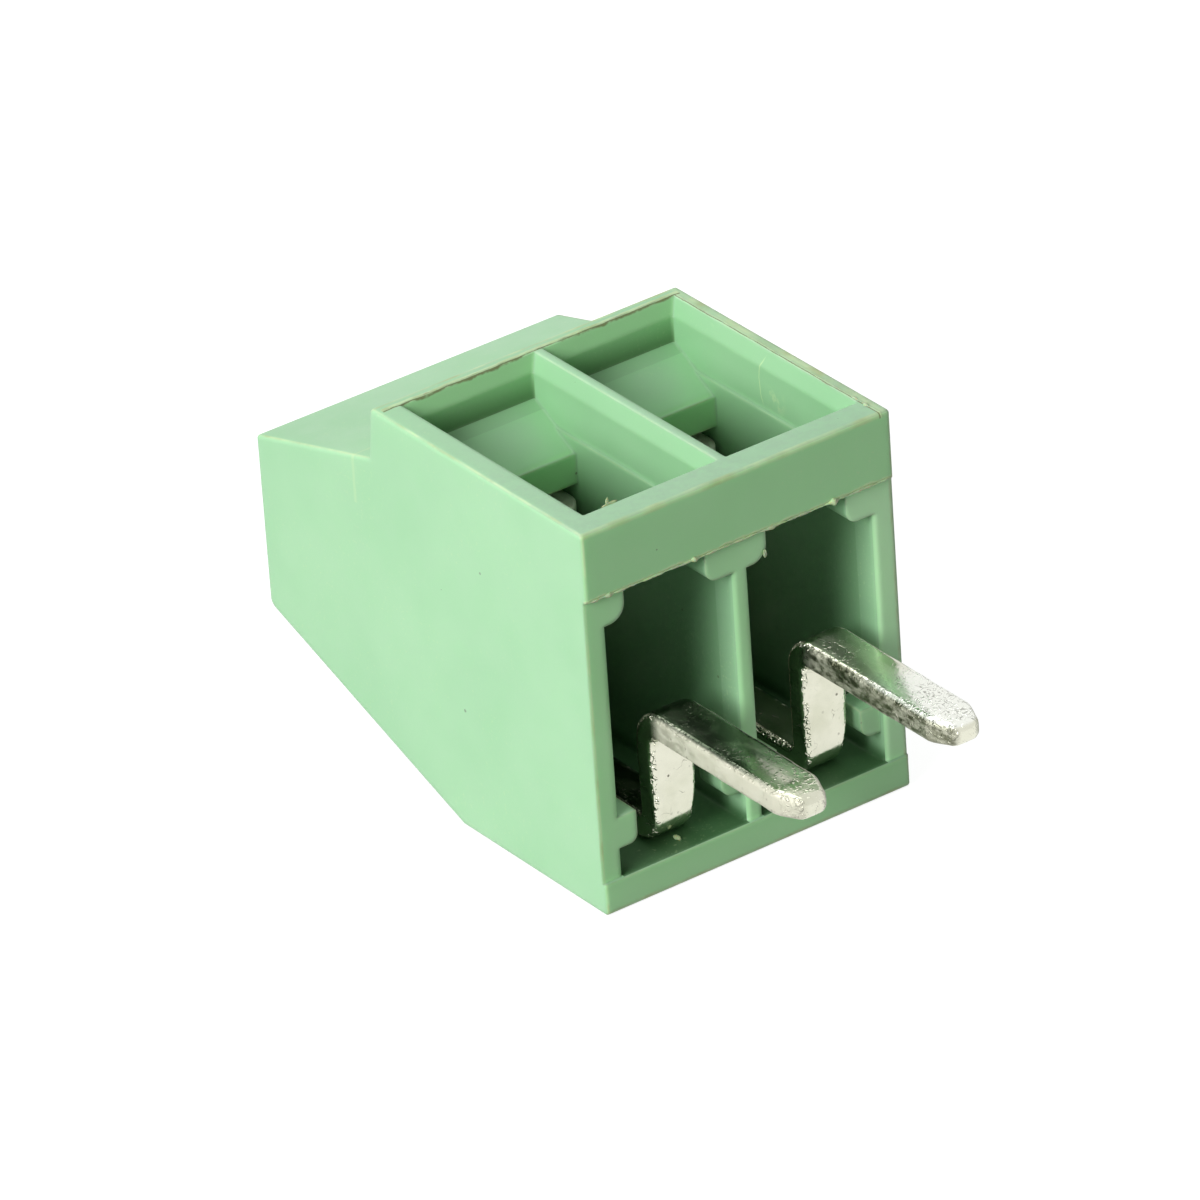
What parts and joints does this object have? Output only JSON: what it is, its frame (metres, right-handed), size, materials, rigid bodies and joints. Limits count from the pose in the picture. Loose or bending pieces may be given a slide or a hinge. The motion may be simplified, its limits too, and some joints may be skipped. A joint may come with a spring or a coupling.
{
  "type": "pcb screw terminal",
  "caption": "Board-mounted screw terminal block with square wire entries, solder pins, rising clamp sleeves and captive slotted screws.",
  "frame": {"origin": "middle of the board face at its back edge: x centred between the side walls, y on the board face, z on the flat back", "axes": "+X across the poles, +Y from the board face up to the screw face, +Z from the flat back out of the wire face"},
  "size_m": [0.0056, 0.0114, 0.0063],
  "materials": {
    "housing_plastic": "fine satin moulded polyamide",
    "contact_tin": "bright tin plate",
    "sleeve_nickel": "nickel plate",
    "screw_zinc": "zinc plate"
  },
  "bodies": {
    "terminal_body": {"housing": "housing_plastic", "contact_1": "contact_tin", "contact_2": "contact_tin"},
    "sleeve_1": {"clamp_sleeve_1": "sleeve_nickel"},
    "screw_1": {"clamp_screw_1": "screw_zinc"},
    "sleeve_2": {"clamp_sleeve_2": "sleeve_nickel"},
    "screw_2": {"clamp_screw_2": "screw_zinc"}
  },
  "joints": [
    {"name": "screw_1_turn", "type": "hinge", "parent": "terminal_body", "child": "screw_1", "pos_m": [-0.00127, 0.0074, 0.00317], "axis": [0, 1, 0], "range_deg": [0, 1800]},
    {"name": "sleeve_1_slide", "type": "slide", "parent": "terminal_body", "child": "sleeve_1", "axis": [0, -1, 0], "range_m": [0, 0.00175]},
    {"name": "screw_2_turn", "type": "hinge", "parent": "terminal_body", "child": "screw_2", "pos_m": [0.00127, 0.0074, 0.00317], "axis": [0, 1, 0], "range_deg": [0, 1800]},
    {"name": "sleeve_2_slide", "type": "slide", "parent": "terminal_body", "child": "sleeve_2", "axis": [0, -1, 0], "range_m": [0, 0.00175]}
  ],
  "couplings": [
    {"joint": "screw_1_turn", "follows": "sleeve_1_slide", "rad_per_m": 17952},
    {"joint": "screw_2_turn", "follows": "sleeve_2_slide", "rad_per_m": 17952}
  ]
}
